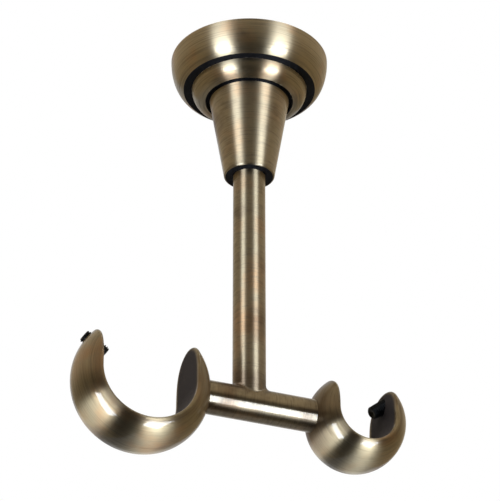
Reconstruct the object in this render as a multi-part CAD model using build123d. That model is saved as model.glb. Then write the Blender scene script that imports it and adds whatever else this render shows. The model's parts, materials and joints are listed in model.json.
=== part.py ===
from build123d import *
import math
import os

# Double curtain pole bracket that hangs from a ceiling.
# Millimetres. The origin is the centre of the ceiling face, +Z points up,
# the arm runs along X and the two poles lie along Y.

# Ceiling rose: a hollow stepped cover, open towards the ceiling
rose_radius = 24.1
flank_height = 10.0
flank_foot_radius = 20.2
flank_curve_width = 5.0
step_radius = 17.6
step_height = 4.3
step_round = 4.0
cavity_radius = 19.8
rose_floor = 2.4
step_cavity_radius = 13.6

# Cone collar: seated in a shallow recess under the rose
cone_top_radius = 12.3
cone_foot_radius = 7.6
cone_length = 27.9
cone_edge_round = 0.5
recess_gap = 0.9
recess_depth = 0.8

# Stem and arm: one round rod brazed into a tee
rod_diameter = 9.8
stem_relief = 0.05
arm_drop = 118.0
stem_socket_depth = 8.0
braze_fillet = 1.5
spigot_diameter = 6.0
spigot_length = 3.0

# Pole cups: half-oval rings, opened upwards
large_cup_reach = 33.0
large_cup_diameter = 40.4
large_bore_diameter = 28.0
large_cup_length = 18.8
small_cup_reach = 33.2
small_cup_diameter = 29.2
small_bore_diameter = 17.6
small_cup_length = 20.0
rim_round = 0.6
arm_seat_margin = 0.15

# Set screws: socket grub screws through the outer horn of each cup
screw_diameter = 4.0
screw_length = 8.0
screw_chamfer = 0.4
horn_margin = 1.55
hex_across_flats = 2.0
hex_depth = 2.4
cup_point_diameter = 1.8
cup_point_depth = 0.6
large_screw_proud = 1.0
small_screw_proud = 0.2

# Mounting plate: a steel disc that the rose covers
plate_thickness = 3.0
fixing_count = 3
fixing_circle_radius = 13.0
fixing_hole_diameter = 4.5
fixing_head_diameter = 8.6

# Centre screw: hangs in the plate and carries the stem
centre_screw_diameter = 6.0
centre_head_diameter = 11.5
centre_head_sink = 0.2
centre_hex_across_flats = 4.0
centre_hex_depth = 1.9
thread_engagement = 12.0
thread_run_out = 2.0

# Clearances
fit_gap = 0.1
thread_gap = 0.15
slip_gap = 0.3

# Levels and radii that follow from the sizes above
rose_depth = flank_height + step_height
cone_top_level = -(rose_depth - recess_depth)
cone_foot_level = cone_top_level - cone_length
stem_top_level = cone_foot_level + stem_socket_depth
rod_radius = rod_diameter / 2
stem_radius = rod_radius - stem_relief
spigot_radius = spigot_diameter / 2
large_radii = (large_cup_diameter / 2, large_bore_diameter / 2)
small_radii = (small_cup_diameter / 2, small_bore_diameter / 2)
screw_radius = screw_diameter / 2
centre_screw_radius = centre_screw_diameter / 2


def upright_cylinder(radius, low, high):
    """A cylinder on the Z axis between two levels."""
    return Pos(0, 0, low) * Cylinder(radius, high - low, align=(Align.CENTER, Align.CENTER, Align.MIN))


def arm_cylinder(radius, start, end):
    """A cylinder on the X axis between two distances."""
    return Pos(start, 0, 0) * Rot(0, 90, 0) * upright_cylinder(radius, 0, end - start)


def turned(outline):
    """A solid turned about Z from a closed outline in the XZ plane."""
    return revolve(Plane.XZ * make_face(outline), Axis.Z)


def hex_socket(across_flats, depth):
    """A hexagonal key socket that opens at level zero and goes down."""
    hexagon = RegularPolygon(across_flats / 2, 6, major_radius=False)
    return extrude(hexagon, amount=-depth)


def ceiling_rose():
    """Domed flank, flat ring and rounded step, hollowed from above."""
    curve_centre = rose_radius - flank_curve_width
    foot_angle = math.acos((flank_foot_radius - curve_centre) / flank_curve_width)
    curve_height = flank_height / math.sin(foot_angle)
    flank = EllipticalCenterArc(
        (curve_centre, 0),
        flank_curve_width,
        curve_height,
        start_angle=-math.degrees(foot_angle),
        arc_size=math.degrees(foot_angle),
    )
    step_wall_end = -(rose_depth - step_round)
    step_flat_start = step_radius - step_round
    step_curve = RadiusArc((step_radius, step_wall_end), (step_flat_start, -rose_depth), step_round)
    outline = [
        flank,
        Line((rose_radius, 0), (0, 0)),
        Line((0, 0), (0, -rose_depth)),
        Line((0, -rose_depth), (step_flat_start, -rose_depth)),
        step_curve,
        Line((step_radius, step_wall_end), (step_radius, -flank_height)),
        Line((step_radius, -flank_height), (flank_foot_radius, -flank_height)),
    ]
    rose = turned(outline)
    rose -= upright_cylinder(cavity_radius, rose_floor - flank_height, 0)
    rose -= upright_cylinder(step_cavity_radius, cone_top_level + rose_floor, 0)
    rose -= upright_cylinder(cone_top_radius + recess_gap, -rose_depth, cone_top_level)
    return rose - upright_cylinder(centre_screw_radius + slip_gap, -rose_depth, 0)


def cone_collar():
    """Tapered collar with a clear hole for the screw and a socket for the stem."""
    outline = Polyline(
        (0, cone_top_level),
        (cone_top_radius, cone_top_level),
        (cone_foot_radius, cone_foot_level),
        (0, cone_foot_level),
        close=True,
    )
    cone = turned(outline)
    rims = cone.edges().filter_by(GeomType.CIRCLE)
    cone = fillet(rims, cone_edge_round)
    cone -= upright_cylinder(centre_screw_radius + slip_gap, cone_foot_level, cone_top_level)
    return cone - upright_cylinder(stem_radius + fit_gap, cone_foot_level, stem_top_level)


def ring_radius(bore_radius):
    """Inner radius of a cup before its slot is cut, a little under the bore."""
    return bore_radius - fit_gap / 2


def arm_seat_distance(outer_radius, bore_radius, cup_length):
    """Distance from a cup's centre to the flat where the arm butts."""
    reach = rod_radius + arm_seat_margin
    inner_radius = ring_radius(bore_radius)
    around = math.sqrt(outer_radius**2 - reach**2)
    along_share = math.sqrt(1 - (2 * reach / cup_length) ** 2)
    along = inner_radius + (outer_radius - inner_radius) * along_share
    return min(around, along)


def pole_cup(outer_radius, bore_radius, cup_length):
    """A cup at the origin, with its arm towards -X and its screw towards +X."""
    inner_radius = ring_radius(bore_radius)
    crown = EllipticalCenterArc(
        (inner_radius, 0), outer_radius - inner_radius, cup_length / 2, start_angle=-90, arc_size=180
    )
    section = make_face([crown, Line(crown @ 1, crown @ 0)])
    # The turn takes the seam of the crown into the slot
    cup = Rot(0, -90, 0) * revolve(section, Axis.Y)

    slot_top = 2 * outer_radius
    slot_sides = Polyline(
        (bore_radius, 0), (bore_radius, slot_top), (-bore_radius, slot_top), (-bore_radius, 0)
    )
    slot_floor = ThreePointArc((-bore_radius, 0), (0, -bore_radius), (bore_radius, 0))
    slot = Plane.XZ * make_face([slot_sides, slot_floor])
    cup -= extrude(slot, amount=cup_length, both=True)
    rims = [edge for edge in cup.edges() if edge.geom_type != GeomType.LINE]
    cup = fillet(rims, rim_round)

    seat = arm_seat_distance(outer_radius, bore_radius, cup_length)
    cup -= arm_cylinder(rod_radius + fit_gap, -2 * outer_radius, -seat)
    cup -= arm_cylinder(spigot_radius + fit_gap, -seat, -seat + spigot_length + slip_gap)
    hole = upright_cylinder(screw_radius + thread_gap, bore_radius / 2, 2 * outer_radius)
    return cup - screw_plane(outer_radius, bore_radius, 0) * hole


def screw_plane(outer_radius, bore_radius, distance):
    """A plane whose Z runs out along a cup's set screw, at a distance from the bore's axis."""
    horn_angle = math.acos(bore_radius / outer_radius)
    below_tip = screw_radius + thread_gap + horn_margin
    tilt = horn_angle - below_tip / outer_radius
    outward = Vector(math.cos(tilt), 0, math.sin(tilt))
    return Plane(origin=outward * distance, x_dir=(0, 1, 0), z_dir=outward)


def set_screw():
    """A grub screw along Z with its cup point at level zero and its socket on top."""
    outline = Polyline(
        (0, cup_point_depth),
        (cup_point_diameter / 2, 0),
        (screw_radius - screw_chamfer, 0),
        (screw_radius, screw_chamfer),
        (screw_radius, screw_length - screw_chamfer),
        (screw_radius - screw_chamfer, screw_length),
        (0, screw_length),
        close=True,
    )
    return turned(outline) - Pos(0, 0, screw_length) * hex_socket(hex_across_flats, hex_depth)


def fitted_screw(outer_radius, bore_radius, proud):
    """A cup's set screw in its horn, with its head proud of the crown."""
    tip_distance = outer_radius + proud - screw_length
    return screw_plane(outer_radius, bore_radius, tip_distance) * set_screw()


def stem_and_arm():
    """The tee: stem and arm with a soft braze fillet, spigots and a tapped top."""
    arm_start = arm_seat_distance(*large_radii, large_cup_length) - large_cup_reach
    arm_end = small_cup_reach - arm_seat_distance(*small_radii, small_cup_length)
    arm = Pos(0, 0, -arm_drop) * arm_cylinder(rod_radius, arm_start, arm_end)
    stem = Rot(0, 0, 90) * upright_cylinder(stem_radius, -arm_drop, stem_top_level)
    tee = stem + arm
    joint_edges = [edge for edge in tee.edges() if edge.geom_type not in (GeomType.CIRCLE, GeomType.LINE)]
    tee = fillet(joint_edges, braze_fillet)
    spigots = arm_cylinder(spigot_radius, arm_start - spigot_length, arm_end + spigot_length)
    tee += Pos(0, 0, -arm_drop) * spigots
    thread_depth = thread_engagement + thread_run_out
    return tee - upright_cylinder(centre_screw_radius + fit_gap, stem_top_level - thread_depth, stem_top_level)


def countersink(head_radius, hole_radius):
    """A right-angled countersink that is widest at level zero and narrows downwards."""
    depth = head_radius - hole_radius
    return Pos(0, 0, -depth) * Cone(
        hole_radius, head_radius, depth, align=(Align.CENTER, Align.CENTER, Align.MIN)
    )


def mounting_plate():
    """Steel disc with fixing holes sunk from below and the centre hole sunk from above."""
    plate = upright_cylinder(cavity_radius - slip_gap, -plate_thickness, 0)
    hole_radius = fixing_hole_diameter / 2
    fixing = upright_cylinder(hole_radius, -plate_thickness, 0)
    fixing += Pos(0, 0, -plate_thickness) * Rot(180, 0, 0) * countersink(fixing_head_diameter / 2, hole_radius)
    plate -= PolarLocations(fixing_circle_radius, fixing_count) * fixing
    head_seat = Pos(0, 0, -centre_head_sink) * countersink(
        centre_head_diameter / 2 + fit_gap, centre_screw_radius + fit_gap
    )
    plate -= head_seat
    plate -= upright_cylinder(centre_head_diameter / 2 + fit_gap, -centre_head_sink, 0)
    return plate - upright_cylinder(centre_screw_radius + fit_gap, -plate_thickness, 0)


def centre_screw():
    """Countersunk screw from the plate down into the stem."""
    shank = upright_cylinder(centre_screw_radius, stem_top_level - thread_engagement, -centre_head_sink)
    head = Pos(0, 0, -centre_head_sink) * countersink(centre_head_diameter / 2, centre_screw_radius)
    socket = Pos(0, 0, -centre_head_sink) * hex_socket(centre_hex_across_flats, centre_hex_depth)
    return shank + head - socket


def build_nodes():
    """Every piece in its place, by node name."""
    to_large = Pos(-large_cup_reach, 0, -arm_drop) * Rot(0, 0, 180)
    to_small = Pos(small_cup_reach, 0, -arm_drop)
    return {
        "mounting_plate": mounting_plate(),
        "centre_screw": centre_screw(),
        "ceiling_rose": ceiling_rose(),
        "cone_collar": cone_collar(),
        "stem_and_arm": stem_and_arm(),
        "large_cup": to_large * pole_cup(*large_radii, large_cup_length),
        "small_cup": to_small * pole_cup(*small_radii, small_cup_length),
        "large_cup_screw": to_large * fitted_screw(*large_radii, large_screw_proud),
        "small_cup_screw": to_small * fitted_screw(*small_radii, small_screw_proud),
    }


os.makedirs("parts", exist_ok=True)
for name, piece in build_nodes().items():
    export_step(piece, f"parts/{name}.step")
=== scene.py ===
import json
import math

import bpy
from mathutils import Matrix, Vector


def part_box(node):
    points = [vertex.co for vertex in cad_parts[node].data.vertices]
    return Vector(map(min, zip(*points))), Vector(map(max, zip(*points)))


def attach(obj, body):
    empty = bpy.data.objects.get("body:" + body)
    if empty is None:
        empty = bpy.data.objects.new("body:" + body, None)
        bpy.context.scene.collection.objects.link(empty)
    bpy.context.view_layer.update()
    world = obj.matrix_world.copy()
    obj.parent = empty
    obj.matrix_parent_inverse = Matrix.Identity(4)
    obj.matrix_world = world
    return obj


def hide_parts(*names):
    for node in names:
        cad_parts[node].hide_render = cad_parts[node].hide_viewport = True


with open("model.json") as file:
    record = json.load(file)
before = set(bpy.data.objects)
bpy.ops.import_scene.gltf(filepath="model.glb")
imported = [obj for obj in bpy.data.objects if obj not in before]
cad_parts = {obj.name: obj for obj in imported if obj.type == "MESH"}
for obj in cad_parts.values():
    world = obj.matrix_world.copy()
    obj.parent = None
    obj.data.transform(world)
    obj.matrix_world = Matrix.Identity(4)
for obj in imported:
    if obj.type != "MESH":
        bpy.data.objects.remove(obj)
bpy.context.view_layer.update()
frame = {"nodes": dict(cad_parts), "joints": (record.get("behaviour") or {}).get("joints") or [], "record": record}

# Double curtain pole bracket in brushed antique brass, hanging from a ceiling.
# Metres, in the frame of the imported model: +Z up, arm along X, poles along Y.
# A pair under a name with NOISE, REACH, START, END, DEPTHS or LEVELS holds a smooth step's ends.
MM = 0.001

# Camera, as in the photograph
IMAGE_WIDTH = 500
FOCAL_PIXELS = 2474.9
LEFT_OF_CENTRE_PIXELS = 0.8
SENSOR_WIDTH = 36.0
CAMERA_AZIMUTH = -22.0
CAMERA_ELEVATION = -30.31
CAMERA_DISTANCE = 733.1 * MM
CAMERA_TARGET = Vector((0, 0, -67.0 * MM))
CAMERA_CLIP_START = 0.01

# Stage: a pale floor, and a tent with two softboxes that the metal reflects; the tent is painted light overhead
# and painted shade in front and below
FLOOR_LEVEL = -1.4
FLOOR_SIZE = 14.0
FLOOR_COLOUR = (0.80, 0.79, 0.77)
FLOOR_UNEVENNESS = 0.03
FLOOR_CLOUD_SCALE = 2.0
MATT_ROUGHNESS = 0.9
BACKGROUND_STRENGTH = 1.0
FILL_STRENGTH = 0.45
STAGE_CENTRE = Vector((0, 0, -80.0 * MM))
SOFTBOXES = {
    "softbox_left": {"azimuth": -64.0, "elevation": -33.0, "width": 0.44, "height": 0.70},
    "softbox_right": {"azimuth": 27.0, "elevation": -33.0, "width": 0.44, "height": 0.74},
}
SOFTBOX_DISTANCE = 1.1
SOFTBOX_RADIANCE = 26.0
SOFTBOX_COLOUR = (0.90, 1.0, 1.15)
TENT_RADIUS = 1.25
TENT_AZIMUTHS = (-165, 140)
TENT_STEP = 8.0
# The tent's paint: brown sides, painted shade in front and below, and painted light overhead
TENT_SIDES = (0.40, 0.288, 0.147)
TENT_FRONT_PAINTED_SHADE = (0.004, 0.003, 0.002)
TENT_TOP_PAINTED_LIGHT = (0.80, 0.64, 0.43)
TENT_BELOW_PAINTED_SHADE = (0.020, 0.013, 0.007)
TENT_FRONT_REACH = (0.55, 0.95)
TENT_TOP_LEVELS = (-0.05, 0.55)
TENT_BELOW_LEVELS = (-1.15, -0.85)

# Faces that were never brushed, and painted shade in the gap where the cone sits in the rose,
# as bands about the stem's axis, in millimetres: inner radius, outer radius, low level, high level
ROSE_DULL_AND_SHADE_BANDS = [
    (17.68, 20.17, -10.2, -9.8),
    (0, 19.95, -9.8, 1),
    (0, 14.0, -11.4, 1),
    # The rose's lip round the cone's top: dull, and darkened as painted shade in the gap
    (0, 13.4, -14.5, -13.2),
]
CONE_DULL_AND_SHADE_BANDS = [
    (0, 7.15, -41.6, -41.2),
    (0, 5.1, -42, -13),
    # The cone's top inside the rose's recess: dull, and darkened as painted shade in the gap
    (0, 12.6, -14.5, -13),
]
DULL_MARGIN = 0.08 * MM

# Share of a cup's oval section, from its bore to its crown, where its dull inside turns bright
CUP_DULL_DEPTHS = (0.76, 0.96)

# Brass under a clear lacquer
BRASS_OLIVE = (0.205, 0.170, 0.112)
BRASS_RED = (0.235, 0.152, 0.085)
BRASS_LINE = (0.120, 0.098, 0.066)
# Dark brass for tarnish blotches, also used as painted shade and a painted dark reflection
BRASS_TARNISH_AND_SHADE = (0.070, 0.046, 0.034)
BRASS_ANISOTROPY = 1.0
LACQUER_ROUGHNESS = 0.08
# Near black of the unbrushed faces, also the painted shade in the gap between rose and cone
DULL_BLACK_AND_SHADE = (0.008, 0.008, 0.009)
DULL_GREY = (0.040, 0.038, 0.046)
DULL_ROUGHNESS = 0.75
FINISHES = {
    "rose": {"roughness": 0.37, "shade": (1.20, 1.20, 1.20), "lacquer": 0.15, "dull": DULL_BLACK_AND_SHADE},
    "cone": {"roughness": 0.42, "shade": (1.10, 1.10, 1.10), "lacquer": 0.4, "dull": DULL_BLACK_AND_SHADE},
    "tee": {"roughness": 0.42, "shade": (1.00, 1.00, 1.00), "lacquer": 0.4},
    "cup": {"roughness": 0.39, "shade": (0.82, 0.80, 0.74), "lacquer": 0.5, "dull": DULL_GREY},
}

# Red patina, dark tarnish in blotches, and the same dark brass as painted shade and a painted dark reflection
PATINA_SCALE = 90.0
PATINA_DETAIL = 4.0
PATINA_NOISE = (0.45, 0.72)
TARNISH_SCALE = 75.0
TARNISH_DETAIL = 5.0
TARNISH_NOISE = (0.52, 0.72)
TARNISH_AND_SHADE_SHARE = 0.6
# Painted shade on a cup round the end of the arm, fading over this distance from the arm's end
ARM_PAINTED_SHADE_REACH = (6.0 * MM, 13.0 * MM)
# Painted dark reflection in a band beside each cup's rim, as shares of the rise from the bore
RIM_PAINTED_REFLECTION_START = (0.08, 0.22)
RIM_PAINTED_REFLECTION_END = (0.25, 0.50)
RIM_PAINTED_REFLECTION_SHARE = 0.6
# Painted shade at the stem's foot, over this distance from the arm's surface
FOOT_PAINTED_SHADE_REACH = (0.4 * MM, 6.0 * MM)

# How far off the rod's surface the finish of the arm goes over into that of the stem
BRAZE_NEAR = 0.2 * MM
BRAZE_FAR = 0.5 * MM

# Brush lines: the pace of their noise round a form and across the lines, and what they change
LINES_AROUND = 1.6
LINES_PER_METRE = 2600.0
RADIUS_SHARE = 0.37
LINE_NOISE = (0.46, 0.70)
LINE_SHARE = 0.55
LINE_ROUGHNESS_NOISE = (0.25, 0.75)
LINE_ROUGHNESS_CHANGES = (-0.05, 0.07)
LINE_RELIEF = 0.010 * MM

# Zinc-plated steel
ZINC_BLUE = (0.50, 0.51, 0.53)
ZINC_YELLOW = (0.60, 0.59, 0.54)
ZINC_SCALE = 160.0
ZINC_DETAIL = 5.0
ZINC_NOISE = (0.3, 0.7)
ZINC_ROUGHNESS = (0.28, 0.44)
SCRATCH_SCALES = (200.0, 4000.0, 4000.0)
SCRATCH_DETAIL = 2.0
SCRATCH_NOISE = (0.3, 0.7)
SCRATCH_RELIEF = 0.002 * MM

# Black oxide on steel
OXIDE_DARK = (0.003, 0.003, 0.003)
OXIDE_PALE = (0.010, 0.010, 0.010)
OXIDE_SCALE = 900.0
OXIDE_DETAIL = 4.0
OXIDE_COLOUR_NOISE = (0.35, 0.75)
OXIDE_ROUGHNESS_NOISE = (0.3, 0.7)
OXIDE_ROUGHNESS = (0.42, 0.60)
OXIDE_METALLIC = 0.6
OXIDE_SPECULAR = 0.15
OXIDE_RELIEF = 0.002 * MM

# Set screws; crest and flank are shares of half a pitch
THREAD_PITCH = 0.7 * MM
THREAD_DEPTH = 0.36 * MM
THREAD_CREST = 0.15
THREAD_FLANK = 0.7
SCREW_RADIUS = 2.0 * MM
SCREW_LENGTH = 8.0 * MM
SCREW_CHAMFER = 0.45 * MM
HEX_SIDES = 6
HEX_APOTHEM = 1.0 * MM
HEX_DEPTH = 2.4 * MM
DRILL_POINT = 0.5 * MM
CUP_POINT_RADIUS = 0.9 * MM
CUP_POINT_DEPTH = 0.6 * MM
SCREW_SIDES = 48
STEPS_PER_PITCH = 12
SHARP_ANGLE = 35


def direction(azimuth, elevation):
    """Unit vector from the object; azimuth 0 is -Y and 90 is +X, in degrees."""
    a = math.radians(azimuth)
    e = math.radians(elevation)
    return Vector((math.sin(a) * math.cos(e), -math.cos(a) * math.cos(e), math.sin(e)))


def into_scene(name, data):
    """A new object for some data, in the scene."""
    obj = bpy.data.objects.new(name, data)
    bpy.context.scene.collection.objects.link(obj)
    return obj


def aim(obj, place, target):
    """Sets an object at a place with its -Z towards the target."""
    obj.location = place
    obj.rotation_mode = "QUATERNION"
    obj.rotation_quaternion = (target - place).to_track_quat("-Z", "Y")


class Shader:
    """One node material, built by plain calls."""

    def __init__(self, name):
        self.material = bpy.data.materials.new(name)
        self.material.use_nodes = True
        self.nodes = self.material.node_tree.nodes
        self.links = self.material.node_tree.links
        self.surface = self.nodes["Principled BSDF"].inputs
        coordinates = self.nodes.new("ShaderNodeTexCoord")
        self.point = coordinates.outputs["Object"]
        split = self.nodes.new("ShaderNodeSeparateXYZ")
        self.links.new(self.point, split.inputs[0])
        self.x, self.y, self.z = split.outputs

    def put(self, value, socket):
        """Links an output socket, or sets a plain value."""
        if isinstance(value, bpy.types.NodeSocket):
            self.links.new(value, socket)
        elif socket.type == "RGBA":
            socket.default_value = (*value, 1.0)
        else:
            socket.default_value = value

    def math(self, operation, first, second=0.0):
        """One operation on one or two values."""
        node = self.nodes.new("ShaderNodeMath")
        node.operation = operation
        self.put(first, node.inputs[0])
        self.put(second, node.inputs[1])
        return node.outputs[0]

    def length(self, first, second):
        """Root of the sum of two squares."""
        squares = [self.math("MULTIPLY", part, part) for part in (first, second)]
        return self.math("SQRT", self.math("ADD", *squares))

    def largest(self, parts):
        """The largest of some values."""
        result = parts[0]
        for part in parts[1:]:
            result = self.math("MAXIMUM", result, part)
        return result

    def ease(self, value, start, end, low=0.0, high=1.0):
        """Takes start to end smoothly onto low to high."""
        node = self.nodes.new("ShaderNodeMapRange")
        node.interpolation_type = "SMOOTHSTEP"
        self.put(value, node.inputs["Value"])
        ends = {"From Min": start, "From Max": end, "To Min": low, "To Max": high}
        for name, number in ends.items():
            node.inputs[name].default_value = number
        return node.outputs["Result"]

    def between(self, value, low, high):
        """1 between two limits and 0 outside them, with a soft margin."""
        above = self.ease(value, low - DULL_MARGIN, low)
        below = self.ease(value, high, high + DULL_MARGIN, 1.0, 0.0)
        return self.math("MULTIPLY", above, below)

    def vector(self, x, y, z):
        """A vector from its three parts."""
        node = self.nodes.new("ShaderNodeCombineXYZ")
        for value, socket in zip((x, y, z), node.inputs):
            self.put(value, socket)
        return node.outputs[0]

    def noise(self, vector, scale=1.0, detail=3.0):
        """Cloudy noise about 0.5."""
        node = self.nodes.new("ShaderNodeTexNoise")
        self.put(vector, node.inputs["Vector"])
        node.inputs["Scale"].default_value = scale
        node.inputs["Detail"].default_value = detail
        return node.outputs["Fac"]

    def mix(self, kind, share, first, second):
        """Mixes two values of a kind, RGBA, FLOAT or VECTOR, by a share."""
        node = self.nodes.new("ShaderNodeMix")
        node.data_type = kind
        socket_type = {"RGBA": "RGBA", "FLOAT": "VALUE", "VECTOR": "VECTOR"}[kind]
        enabled = [socket for socket in node.inputs if socket.enabled]
        mixed = [socket for socket in enabled if socket.type == socket_type]
        self.put(share, enabled[0])
        self.put(first, mixed[-2])
        self.put(second, mixed[-1])
        return next(socket for socket in node.outputs if socket.enabled)

    def bump(self, height):
        """A relief on the surface normal, from a height in metres."""
        node = self.nodes.new("ShaderNodeBump")
        node.inputs["Strength"].default_value = 1.0
        node.inputs["Distance"].default_value = 1.0
        self.put(height, node.inputs["Height"])
        self.put(node.outputs[0], self.surface["Normal"])


def brush_lines(shader, first, second, along):
    """Fine lines round an axis: quick across them, slow along them, and without a seam."""
    radius = shader.length(first, second)
    around = []
    for part in (first, second):
        share = shader.math("DIVIDE", part, radius)
        around.append(shader.math("MULTIPLY", share, LINES_AROUND))
    travel = shader.math("ADD", along, shader.math("MULTIPLY", radius, RADIUS_SHARE))
    across = shader.math("MULTIPLY", travel, LINES_PER_METRE)
    return shader.noise(shader.vector(*around, across))


def finish_brass(shader, finish, lines, tangent, dull=None, painted_shade=0.0):
    """Brushed and lacquered antique brass: dull where dull is 1 (on the rose and cone this includes painted shade
    in their gap), with tarnish blotches, and darkened where the last argument is 1, with painted shade and a
    painted dark reflection.
    """
    tones = (BRASS_OLIVE, BRASS_RED, BRASS_LINE)
    olive, red, line = [tuple(a * b for a, b in zip(tone, finish["shade"])) for tone in tones]
    patina_noise = shader.noise(shader.point, PATINA_SCALE, PATINA_DETAIL)
    patina = shader.ease(patina_noise, *PATINA_NOISE)
    line_share = shader.ease(lines, *LINE_NOISE, 0.0, LINE_SHARE)
    brushed = shader.mix("RGBA", line_share, shader.mix("RGBA", patina, olive, red), line)
    tarnish_noise = shader.noise(shader.point, TARNISH_SCALE, TARNISH_DETAIL)
    blotches = shader.ease(tarnish_noise, *TARNISH_NOISE)
    # Random tarnish blotches, together with the painted shade passed in
    tarnish_and_painted_shade = shader.math("MULTIPLY", shader.math("MAXIMUM", blotches, painted_shade), TARNISH_AND_SHADE_SHARE)
    colour = shader.mix("RGBA", tarnish_and_painted_shade, brushed, BRASS_TARNISH_AND_SHADE)
    roughness_ends = [finish["roughness"] + change for change in LINE_ROUGHNESS_CHANGES]
    roughness = shader.ease(lines, *LINE_ROUGHNESS_NOISE, *roughness_ends)
    lacquer = shader.mix("FLOAT", tarnish_and_painted_shade, finish["lacquer"], 0.0)
    if dull is not None:
        colour = shader.mix("RGBA", dull, colour, finish["dull"])
        roughness = shader.mix("FLOAT", dull, roughness, DULL_ROUGHNESS)
        lacquer = shader.mix("FLOAT", dull, lacquer, 0.0)
    shader.put(colour, shader.surface["Base Color"])
    shader.put(roughness, shader.surface["Roughness"])
    shader.put(lacquer, shader.surface["Coat Weight"])
    shader.put(tangent, shader.surface["Tangent"])
    shader.surface["Metallic"].default_value = 1.0
    shader.surface["Anisotropic"].default_value = BRASS_ANISOTROPY
    shader.surface["Coat Roughness"].default_value = LACQUER_ROUGHNESS
    shader.bump(shader.math("MULTIPLY", lines, LINE_RELIEF))
    return shader.material


def upright_brass(name, finish, dull_and_shade_bands):
    """Brass that was turned about the stem's axis, dull in the given bands, which also paint the shade in the gap
    between rose and cone.
    """
    shader = Shader(name)
    radius = shader.length(shader.x, shader.y)
    bands = []
    for inner, outer, low, high in dull_and_shade_bands:
        in_radius = shader.between(radius, inner * MM, outer * MM)
        in_level = shader.between(shader.z, low * MM, high * MM)
        bands.append(shader.math("MULTIPLY", in_radius, in_level))
    lines = brush_lines(shader, shader.x, shader.y, shader.z)
    return finish_brass(shader, finish, lines, shader.vector(0, 0, 1), shader.largest(bands))


def cup_painted_shade(shader, centre, rise_share):
    """Where a cup is darkened: painted shade round the end of the arm, and a painted dark reflection in a band
    beside its rim.
    """
    low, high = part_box("stem_and_arm")
    arm_level = low[2] + (high[1] - low[1]) / 2
    arm_end = high[0] if centre[0] > 0 else low[0]
    past_end = shader.math("SUBTRACT", shader.x, arm_end)
    over_arm = shader.math("SUBTRACT", shader.z, arm_level)
    from_seat = shader.length(shader.length(past_end, over_arm), shader.y)
    near_arm = shader.ease(from_seat, *ARM_PAINTED_SHADE_REACH, 1.0, 0.0)
    # A band beside the rim, darkened as a painted dark reflection
    off_rim = shader.ease(rise_share, *RIM_PAINTED_REFLECTION_START, 0.0, RIM_PAINTED_REFLECTION_SHARE)
    near_rim = shader.ease(rise_share, *RIM_PAINTED_REFLECTION_END, 1.0, 0.0)
    return shader.math("MAXIMUM", near_arm, shader.math("MULTIPLY", off_rim, near_rim))


def cup_brass(name, node, seat):
    """Brass that was turned about a pole's axis, dull inside the bore and its slot, with painted shade round the
    arm's end and a painted dark reflection beside the rim.
    """
    shader = Shader(name)
    centre = seat["pos_m"]
    bore = seat["dims"]["r_mm"] * MM
    low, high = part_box(node)
    crown = centre[2] - low[2]
    across = shader.math("SUBTRACT", shader.x, centre[0])
    height = shader.math("SUBTRACT", shader.z, centre[2])
    from_bore = shader.math("SUBTRACT", shader.length(across, height), bore)
    rise_share = shader.math("DIVIDE", from_bore, crown - bore)
    length_share = shader.math("DIVIDE", shader.y, high[1])
    depth = shader.length(rise_share, length_share)
    dull = shader.ease(depth, *CUP_DULL_DEPTHS, 1.0, 0.0)
    lines = brush_lines(shader, across, height, shader.y)
    painted_shade = cup_painted_shade(shader, centre, rise_share)
    return finish_brass(shader, FINISHES["cup"], lines, shader.vector(0, 1, 0), dull, painted_shade)


def tee_brass(name):
    """Brass of the stem and the arm, each brushed round its own axis; darkened with painted shade at their joint.
    """
    shader = Shader(name)
    low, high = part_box("stem_and_arm")
    rod_radius = (high[1] - low[1]) / 2
    arm_level = low[2] + rod_radius
    height = shader.math("SUBTRACT", shader.z, arm_level)
    from_arm = shader.length(shader.y, height)
    on_stem = shader.ease(from_arm, rod_radius + BRAZE_NEAR, rod_radius + BRAZE_FAR)
    stem_lines = brush_lines(shader, shader.x, shader.y, shader.z)
    arm_lines = brush_lines(shader, shader.y, height, shader.x)
    lines = shader.mix("FLOAT", on_stem, arm_lines, stem_lines)
    tangent = shader.mix("VECTOR", on_stem, (1, 0, 0), (0, 0, 1))
    foot = [rod_radius + reach for reach in FOOT_PAINTED_SHADE_REACH]
    near_arm = shader.ease(from_arm, *foot, 1.0, 0.0)
    from_stem = shader.math("ABSOLUTE", shader.x)
    near_stem = shader.ease(from_stem, rod_radius, rod_radius + BRAZE_FAR, 1.0, 0.0)
    above = shader.ease(height, 0.0, rod_radius)
    # Painted shade at the stem's foot, just above the arm
    painted_shade = shader.math("MULTIPLY", shader.math("MULTIPLY", near_arm, near_stem), above)
    return finish_brass(shader, FINISHES["tee"], lines, tangent, painted_shade=painted_shade)


def zinc_plate(name):
    """Zinc-plated steel with a cloudy, slightly scratched skin."""
    shader = Shader(name)
    cloud = shader.noise(shader.point, ZINC_SCALE, ZINC_DETAIL)
    stretched = shader.nodes.new("ShaderNodeMapping")
    stretched.inputs["Scale"].default_value = SCRATCH_SCALES
    shader.put(shader.point, stretched.inputs["Vector"])
    scratches = shader.noise(stretched.outputs[0], detail=SCRATCH_DETAIL)
    colour = shader.mix("RGBA", shader.ease(cloud, *ZINC_NOISE), ZINC_BLUE, ZINC_YELLOW)
    roughness = shader.ease(scratches, *SCRATCH_NOISE, *ZINC_ROUGHNESS)
    shader.put(colour, shader.surface["Base Color"])
    shader.put(roughness, shader.surface["Roughness"])
    shader.surface["Metallic"].default_value = 1.0
    shader.bump(shader.math("MULTIPLY", scratches, SCRATCH_RELIEF))
    return shader.material


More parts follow.
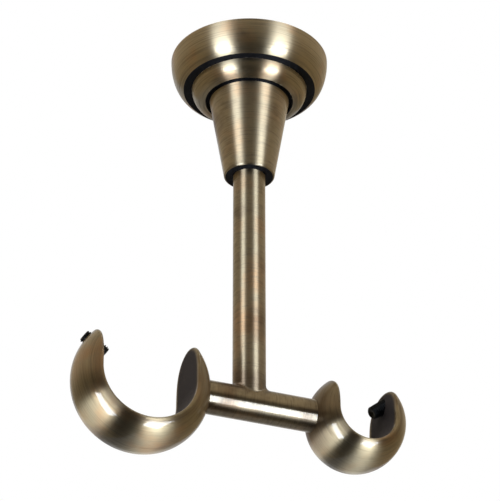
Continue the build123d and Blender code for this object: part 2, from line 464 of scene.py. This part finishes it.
def black_oxide(name):
    """Blackened steel with an oily, uneven skin."""
    shader = Shader(name)
    cloud = shader.noise(shader.point, OXIDE_SCALE, OXIDE_DETAIL)
    colour = shader.mix("RGBA", shader.ease(cloud, *OXIDE_COLOUR_NOISE), OXIDE_DARK, OXIDE_PALE)
    roughness = shader.ease(cloud, *OXIDE_ROUGHNESS_NOISE, *OXIDE_ROUGHNESS)
    shader.put(colour, shader.surface["Base Color"])
    shader.put(roughness, shader.surface["Roughness"])
    shader.surface["Metallic"].default_value = OXIDE_METALLIC
    shader.surface["Specular IOR Level"].default_value = OXIDE_SPECULAR
    shader.bump(shader.math("MULTIPLY", cloud, OXIDE_RELIEF))
    return shader.material


def thread_radius(turn, level):
    """Radius of the screw's thread at a share of a turn and a level."""
    phase = (level / THREAD_PITCH - turn) % 1.0
    from_crest = abs(2 * phase - 1)
    sunk = min(max((from_crest - THREAD_CREST) / THREAD_FLANK, 0.0), 1.0)
    chamfer = SCREW_RADIUS - SCREW_CHAMFER + min(level, SCREW_LENGTH - level)
    return min(SCREW_RADIUS - THREAD_DEPTH * sunk, chamfer)


def hex_radius(turn):
    """Radius of the hexagonal socket at a share of a turn."""
    from_flat = (turn * HEX_SIDES) % 1.0 - 0.5
    return HEX_APOTHEM / math.cos(from_flat * 2 * math.pi / HEX_SIDES)


def screw_rings():
    """The screw's rings from its point to its socket's bottom, as (radius of a turn, level)."""
    face_radius = SCREW_RADIUS - SCREW_CHAMFER
    rings = [(lambda turn: CUP_POINT_RADIUS, 0.0), (lambda turn: face_radius, 0.0)]
    steps = round(SCREW_LENGTH / THREAD_PITCH * STEPS_PER_PITCH)
    for step in range(1, steps):
        level = SCREW_LENGTH * step / steps
        rings.append((lambda turn, level=level: thread_radius(turn, level), level))
    rings.append((lambda turn: face_radius, SCREW_LENGTH))
    rings.append((hex_radius, SCREW_LENGTH))
    rings.append((hex_radius, SCREW_LENGTH - HEX_DEPTH))
    return rings


def screw_shape(tip, outward):
    """Points and faces of a set screw, from the plane of its point outward along its axis."""
    side = Vector((0, 1, 0))
    other = outward.cross(side)
    rings = screw_rings()
    points = []
    for radius, level in rings:
        for k in range(SCREW_SIDES):
            turn = k / SCREW_SIDES
            angle = 2 * math.pi * turn
            spoke = side * math.cos(angle) + other * math.sin(angle)
            points.append(tip + outward * level + spoke * radius(turn))
    faces = []
    for ring in range(len(rings) - 1):
        for k in range(SCREW_SIDES):
            a = ring * SCREW_SIDES + k
            b = ring * SCREW_SIDES + (k + 1) % SCREW_SIDES
            faces.append((a, b, b + SCREW_SIDES, a + SCREW_SIDES))
    last = (len(rings) - 1) * SCREW_SIDES
    points.append(tip + outward * CUP_POINT_DEPTH)
    points.append(tip + outward * (SCREW_LENGTH - HEX_DEPTH - DRILL_POINT))
    for k in range(SCREW_SIDES):
        following = (k + 1) % SCREW_SIDES
        faces.append((following, k, len(points) - 2))
        faces.append((last + k, last + following, len(points) - 1))
    return points, faces


def threaded_screw(name, node, joint, material):
    """A threaded set screw in the place of its plain node, moving with its joint."""
    low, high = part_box(node)
    outward = -Vector(joint["axis"])
    tip = (Vector(low) + Vector(high)) / 2 - outward * SCREW_LENGTH / 2
    points, faces = screw_shape(tip, outward)
    mesh = bpy.data.meshes.new(name)
    mesh.from_pydata(points, [], faces)
    mesh.shade_smooth()
    mesh.set_sharp_from_angle(angle=math.radians(SHARP_ANGLE))
    mesh.materials.append(material)
    screw = into_scene(name, mesh)
    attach(screw, joint["child"])
    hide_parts(node)


def dress(node, material):
    """Gives a CAD node its material."""
    slots = frame["nodes"][node].data.materials
    slots.clear()
    slots.append(material)


def stage_mesh(name, points, faces, material):
    """A mesh that belongs to the stage."""
    mesh = bpy.data.meshes.new(name)
    mesh.from_pydata(points, [], faces)
    mesh.materials.append(material)
    obj = into_scene(name, mesh)
    return obj


def flat_floor(material):
    """A square floor under the object."""
    half = FLOOR_SIZE / 2
    corners = [(-half, -half), (half, -half), (half, half), (-half, half)]
    stage_mesh("floor", [(x, y, FLOOR_LEVEL) for x, y in corners], [(0, 1, 2, 3)], material)


def round_tent(material):
    """A tent round the object that is open at the back, for reflections only."""
    first, last = TENT_AZIMUTHS
    columns = math.ceil((last - first) / TENT_STEP)
    rows = math.ceil(180 / TENT_STEP)
    points = []
    faces = []
    for row in range(rows + 1):
        elevation = -90 + 180 * row / rows
        for column in range(columns + 1):
            azimuth = first + (last - first) * column / columns
            points.append(STAGE_CENTRE + direction(azimuth, elevation) * TENT_RADIUS)
    for row in range(rows):
        for column in range(columns):
            a = row * (columns + 1) + column
            faces.append((a, a + 1, a + columns + 2, a + columns + 1))
    tent = stage_mesh("tent", points, faces, material)
    tent.visible_camera = False
    tent.visible_diffuse = False
    tent.visible_shadow = False


def floor_paint(name):
    """Matt paint with faint clouds."""
    shader = Shader(name)
    cloud = shader.noise(shader.point, FLOOR_CLOUD_SCALE)
    darker = tuple(part * (1 - FLOOR_UNEVENNESS) for part in FLOOR_COLOUR)
    shader.put(shader.mix("RGBA", cloud, FLOOR_COLOUR, darker), shader.surface["Base Color"])
    shader.surface["Roughness"].default_value = MATT_ROUGHNESS
    return shader.material


def tent_light_and_shade_paint(name):
    """Matt cloth for reflections: brown at the sides, painted shade dark in front and below, and painted light
    pale overhead.
    """
    shader = Shader(name)
    front = direction(CAMERA_AZIMUTH, 0)
    parts = ((shader.x, front.x), (shader.y, front.y))
    forward = [shader.math("MULTIPLY", *pair) for pair in parts]
    ahead = shader.ease(shader.math("ADD", *forward), *TENT_FRONT_REACH)
    walls = shader.mix("RGBA", ahead, TENT_SIDES, TENT_FRONT_PAINTED_SHADE)
    above_floor = shader.ease(shader.z, *TENT_BELOW_LEVELS)
    lower = shader.mix("RGBA", above_floor, TENT_BELOW_PAINTED_SHADE, walls)
    overhead = shader.ease(shader.z, *TENT_TOP_LEVELS)
    shader.put(shader.mix("RGBA", overhead, lower, TENT_TOP_PAINTED_LIGHT), shader.surface["Base Color"])
    shader.surface["Roughness"].default_value = MATT_ROUGHNESS
    return shader.material


def make_stage():
    """Floor, tent and softboxes."""
    flat_floor(floor_paint("floor_paint"))
    round_tent(tent_light_and_shade_paint("tent_light_and_shade_paint"))
    for name, box in SOFTBOXES.items():
        lamp = bpy.data.lights.new(name, "AREA")
        lamp.shape = "RECTANGLE"
        lamp.color = SOFTBOX_COLOUR
        lamp.size = box["width"]
        lamp.size_y = box["height"]
        lamp.energy = SOFTBOX_RADIANCE * math.pi * box["width"] * box["height"]
        obj = into_scene(name, lamp)
        away = direction(box["azimuth"], box["elevation"])
        aim(obj, STAGE_CENTRE + away * SOFTBOX_DISTANCE, STAGE_CENTRE)
        obj.visible_camera = False


def make_world():
    """White for the camera and for reflections, and a soft fill for the rest."""
    world = bpy.data.worlds.new("studio")
    world.use_nodes = True
    bpy.context.scene.world = world
    nodes = world.node_tree.nodes
    links = world.node_tree.links
    path = nodes.new("ShaderNodeLightPath")
    seen = path.outputs["Is Camera Ray"]
    for name in ("Is Glossy Ray", "Is Transmission Ray"):
        either = nodes.new("ShaderNodeMath")
        either.operation = "MAXIMUM"
        links.new(seen, either.inputs[0])
        links.new(path.outputs[name], either.inputs[1])
        seen = either.outputs[0]
    strength = nodes.new("ShaderNodeMapRange")
    strength.inputs["To Min"].default_value = FILL_STRENGTH
    strength.inputs["To Max"].default_value = BACKGROUND_STRENGTH
    links.new(seen, strength.inputs["Value"])
    background = nodes["Background"]
    background.inputs["Color"].default_value = (1, 1, 1, 1)
    links.new(strength.outputs["Result"], background.inputs["Strength"])


def make_camera():
    """The camera of the photograph."""
    lens = bpy.data.cameras.new("camera")
    lens.sensor_fit = "HORIZONTAL"
    lens.sensor_width = SENSOR_WIDTH
    lens.lens = FOCAL_PIXELS * SENSOR_WIDTH / IMAGE_WIDTH
    lens.shift_x = LEFT_OF_CENTRE_PIXELS / IMAGE_WIDTH
    lens.clip_start = CAMERA_CLIP_START
    camera = into_scene("camera", lens)
    away = direction(CAMERA_AZIMUTH, CAMERA_ELEVATION)
    aim(camera, CAMERA_TARGET + away * CAMERA_DISTANCE, CAMERA_TARGET)
    bpy.context.scene.camera = camera


def dress_bracket():
    """Materials on every CAD node, and threaded screws for the plain ones."""
    seats = {mount["name"]: mount for mount in frame["record"]["mounts"]}
    dress("ceiling_rose", upright_brass("rose_brass", FINISHES["rose"], ROSE_DULL_AND_SHADE_BANDS))
    dress("cone_collar", upright_brass("cone_brass", FINISHES["cone"], CONE_DULL_AND_SHADE_BANDS))
    dress("stem_and_arm", tee_brass("tee_brass"))
    for size in ("large", "small"):
        node = f"{size}_cup"
        dress(node, cup_brass(f"{node}_brass", node, seats[f"{size}_pole_seat"]))
    zinc = zinc_plate("zinc_steel")
    for node in ("mounting_plate", "centre_screw"):
        dress(node, zinc)
    black = black_oxide("black_steel")
    joints = {joint["child"]: joint for joint in frame["joints"]}
    for size in ("large", "small"):
        dress(f"{size}_cup_screw", black)
        threaded_screw(f"{size}_set_screw", f"{size}_cup_screw", joints[f"{size}_screw"], black)


bpy.context.scene.view_settings.view_transform = "Standard"
make_world()
make_stage()
make_camera()
dress_bracket()
